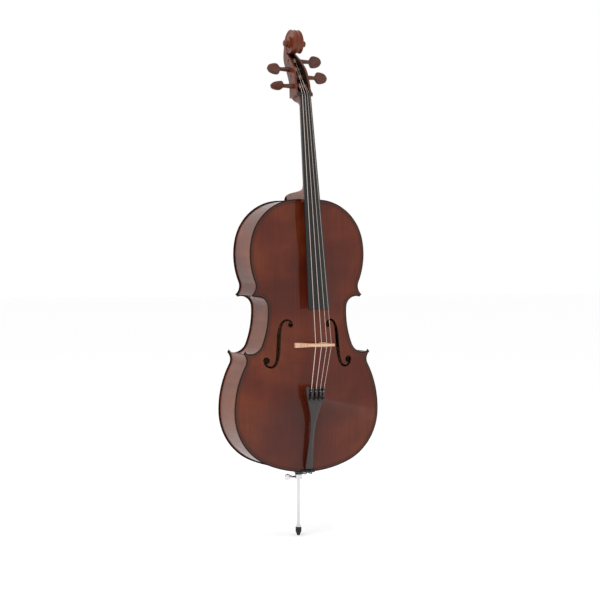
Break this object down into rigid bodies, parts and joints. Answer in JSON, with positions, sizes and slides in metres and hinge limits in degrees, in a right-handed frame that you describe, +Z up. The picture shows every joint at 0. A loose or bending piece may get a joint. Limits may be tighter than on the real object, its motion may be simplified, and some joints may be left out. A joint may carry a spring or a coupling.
{
  "type": "cello",
  "caption": "Bowed string instrument on a sliding endpin, with arched body, f-holes, bridge, tailpiece with fine tuners, fingerboard, pegs and carved scroll.",
  "frame": {"origin": "where the flat foot of the endpin's rubber tip meets the floor, on the endpin's axis", "axes": "+Z up along the body to the scroll, the belly and strings face -Y, +X to the treble side"},
  "size_m": [0.4332, 0.2592, 1.4171],
  "materials": {
    "spruce_varnished": "gloss varnish, red-brown",
    "maple_varnished": "gloss varnish, red-brown",
    "bare_spruce": "raw",
    "purfling": "stained dark under varnish",
    "ebony": "satin, dark",
    "bridge_maple": "raw, scraped",
    "peg_wood": "oiled, red-brown",
    "tail_plastic": "matte",
    "tuner_metal": "black, satin",
    "string_metal": "polished windings",
    "gut_plastic": "matte",
    "steel": "plated",
    "black_rubber": "matte"
  },
  "bodies": {
    "instrument": {"top_plate": "spruce_varnished", "top_purfling": "purfling", "back_plate": "maple_varnished", "back_purfling": "purfling", "rib_lower_treble": "maple_varnished", "rib_lower_bass": "maple_varnished", "rib_c_treble": "maple_varnished", "rib_c_bass": "maple_varnished", "rib_upper_treble": "maple_varnished", "rib_upper_bass": "maple_varnished", "top_block": "bare_spruce", "bottom_block": "bare_spruce", "corner_block_lower_treble": "bare_spruce", "corner_block_lower_bass": "bare_spruce", "corner_block_upper_treble": "bare_spruce", "corner_block_upper_bass": "bare_spruce", "front_linings": "bare_spruce", "back_linings": "bare_spruce", "bass_bar": "bare_spruce", "sound_post": "bare_spruce", "neck_and_scroll": "maple_varnished", "fingerboard": "ebony", "nut": "ebony", "bridge": "bridge_maple", "tailpiece": "tail_plastic", "lever_pin": "steel", "saddle": "ebony", "tail_gut": "gut_plastic", "endpin_socket": "ebony", "endpin_ferrule": "steel", "string_c": "string_metal", "string_g": "string_metal", "string_d": "string_metal", "string_a": "string_metal"},
    "peg_c": {"peg_c": "peg_wood", "string_winding_c": "string_metal"},
    "peg_g": {"peg_g": "peg_wood", "string_winding_g": "string_metal"},
    "peg_d": {"peg_d": "peg_wood", "string_winding_d": "string_metal"},
    "peg_a": {"peg_a": "peg_wood", "string_winding_a": "string_metal"},
    "tuner_screw_c": {"tuner_screw_c": "tuner_metal"},
    "tuner_knob_c": {"tuner_knob_c": "tuner_metal"},
    "tuner_lever_c": {"tuner_lever_c": "tuner_metal"},
    "tuner_screw_g": {"tuner_screw_g": "tuner_metal"},
    "tuner_knob_g": {"tuner_knob_g": "tuner_metal"},
    "tuner_lever_g": {"tuner_lever_g": "tuner_metal"},
    "tuner_screw_d": {"tuner_screw_d": "tuner_metal"},
    "tuner_knob_d": {"tuner_knob_d": "tuner_metal"},
    "tuner_lever_d": {"tuner_lever_d": "tuner_metal"},
    "tuner_screw_a": {"tuner_screw_a": "tuner_metal"},
    "tuner_knob_a": {"tuner_knob_a": "tuner_metal"},
    "tuner_lever_a": {"tuner_lever_a": "tuner_metal"},
    "thumbscrew": {"thumbscrew": "tuner_metal"},
    "thumbscrew_wing": {"thumbscrew_wing": "steel"},
    "endpin": {"endpin_rod": "steel", "endpin_cone": "steel"},
    "rubber_tip": {"rubber_tip": "black_rubber"}
  },
  "joints": [
    {"name": "peg_c_turn", "type": "hinge", "parent": "instrument", "child": "peg_c", "pos_m": [0, -0.013, 1.254], "axis": [-1, 0, 0], "continuous": true},
    {"name": "peg_g_turn", "type": "hinge", "parent": "instrument", "child": "peg_g", "pos_m": [0, 0.021, 1.304], "axis": [-1, 0, 0], "continuous": true},
    {"name": "peg_d_turn", "type": "hinge", "parent": "instrument", "child": "peg_d", "pos_m": [0, 0.039, 1.33], "axis": [1, 0, 0], "continuous": true},
    {"name": "peg_a_turn", "type": "hinge", "parent": "instrument", "child": "peg_a", "pos_m": [0, 0.008, 1.282], "axis": [1, 0, 0], "continuous": true},
    {"name": "tuner_screw_c_slide", "type": "slide", "parent": "instrument", "child": "tuner_screw_c", "axis": [0, 0.9745, 0.2246], "range_m": [0, 0.0035]},
    {"name": "tuner_knob_c_turn", "type": "hinge", "parent": "tuner_screw_c", "child": "tuner_knob_c", "pos_m": [-0.0186, -0.12181, 0.39279], "axis": [0, 0.9745, 0.2246], "range_deg": [0, 1610]},
    {"name": "tuner_lever_c_tilt", "type": "hinge", "parent": "instrument", "child": "tuner_lever_c", "pos_m": [-0.0186, -0.11735, 0.41126], "axis": [1, 0, 0], "range_deg": [0, 12.25]},
    {"name": "tuner_screw_g_slide", "type": "slide", "parent": "instrument", "child": "tuner_screw_g", "axis": [0, 0.9745, 0.2246], "range_m": [0, 0.0035]},
    {"name": "tuner_knob_g_turn", "type": "hinge", "parent": "tuner_screw_g", "child": "tuner_knob_g", "pos_m": [-0.0062, -0.12181, 0.39279], "axis": [0, 0.9745, 0.2246], "range_deg": [0, 1610]},
    {"name": "tuner_lever_g_tilt", "type": "hinge", "parent": "instrument", "child": "tuner_lever_g", "pos_m": [-0.0062, -0.11735, 0.41126], "axis": [1, 0, 0], "range_deg": [0, 12.25]},
    {"name": "tuner_screw_d_slide", "type": "slide", "parent": "instrument", "child": "tuner_screw_d", "axis": [0, 0.9745, 0.2246], "range_m": [0, 0.0035]},
    {"name": "tuner_knob_d_turn", "type": "hinge", "parent": "tuner_screw_d", "child": "tuner_knob_d", "pos_m": [0.0062, -0.12181, 0.39279], "axis": [0, 0.9745, 0.2246], "range_deg": [0, 1610]},
    {"name": "tuner_lever_d_tilt", "type": "hinge", "parent": "instrument", "child": "tuner_lever_d", "pos_m": [0.0062, -0.11735, 0.41126], "axis": [1, 0, 0], "range_deg": [0, 12.25]},
    {"name": "tuner_screw_a_slide", "type": "slide", "parent": "instrument", "child": "tuner_screw_a", "axis": [0, 0.9745, 0.2246], "range_m": [0, 0.0035]},
    {"name": "tuner_knob_a_turn", "type": "hinge", "parent": "tuner_screw_a", "child": "tuner_knob_a", "pos_m": [0.0186, -0.12181, 0.39279], "axis": [0, 0.9745, 0.2246], "range_deg": [0, 1610]},
    {"name": "tuner_lever_a_tilt", "type": "hinge", "parent": "instrument", "child": "tuner_lever_a", "pos_m": [0.0186, -0.11735, 0.41126], "axis": [1, 0, 0], "range_deg": [0, 12.25]},
    {"name": "thumbscrew_slide", "type": "slide", "parent": "instrument", "child": "thumbscrew", "axis": [-1, 0, 0], "range_m": [0, 0.0024]},
    {"name": "thumbscrew_turn", "type": "hinge", "parent": "thumbscrew", "child": "thumbscrew_wing", "pos_m": [-0.027, 0, 0.16525], "axis": [-1, 0, 0], "range_deg": [0, 1105]},
    {"name": "endpin_slide", "type": "slide", "parent": "instrument", "child": "endpin", "axis": [0, 0, 1], "range_m": [-0.23, 0.12]},
    {"name": "tip_pull_off", "type": "slide", "parent": "endpin", "child": "rubber_tip", "axis": [0, 0, -1], "range_m": [0, 0.03]}
  ],
  "couplings": [
    {"joint": "tuner_knob_c_turn", "follows": "tuner_screw_c_slide", "rad_per_m": 7854},
    {"joint": "tuner_lever_c_tilt", "follows": "tuner_screw_c_slide", "rad_per_m": 58.286},
    {"joint": "tuner_knob_g_turn", "follows": "tuner_screw_g_slide", "rad_per_m": 7854},
    {"joint": "tuner_lever_g_tilt", "follows": "tuner_screw_g_slide", "rad_per_m": 58.286},
    {"joint": "tuner_knob_d_turn", "follows": "tuner_screw_d_slide", "rad_per_m": 7854},
    {"joint": "tuner_lever_d_tilt", "follows": "tuner_screw_d_slide", "rad_per_m": 58.286},
    {"joint": "tuner_knob_a_turn", "follows": "tuner_screw_a_slide", "rad_per_m": 7854},
    {"joint": "tuner_lever_a_tilt", "follows": "tuner_screw_a_slide", "rad_per_m": 58.286},
    {"joint": "thumbscrew_turn", "follows": "thumbscrew_slide", "rad_per_m": 7854}
  ]
}
